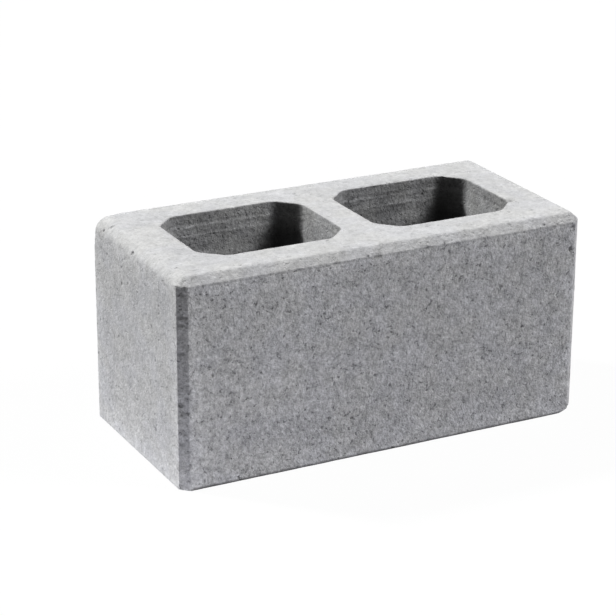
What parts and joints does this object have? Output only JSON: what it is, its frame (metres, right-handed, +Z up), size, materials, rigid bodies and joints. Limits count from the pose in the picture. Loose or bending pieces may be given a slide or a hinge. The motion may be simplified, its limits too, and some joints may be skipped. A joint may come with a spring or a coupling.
{
  "type": "hollow concrete block",
  "caption": "Rectangular moulded concrete masonry block with open tapered cores right through it, bevelled top and upright edges and plain flat ends, for laying in mortar or dry stacking.",
  "frame": {"origin": "middle of the underside, on the plane that the block stands on", "axes": "+X along the length, +Y from the front face shell to the back one, +Z up through the cores"},
  "size_m": [0.39, 0.19, 0.19],
  "materials": {
    "concrete": "matt, open-pored dry-cast concrete"
  },
  "bodies": {
    "root": {"concrete_block": "concrete"}
  },
  "joints": []
}
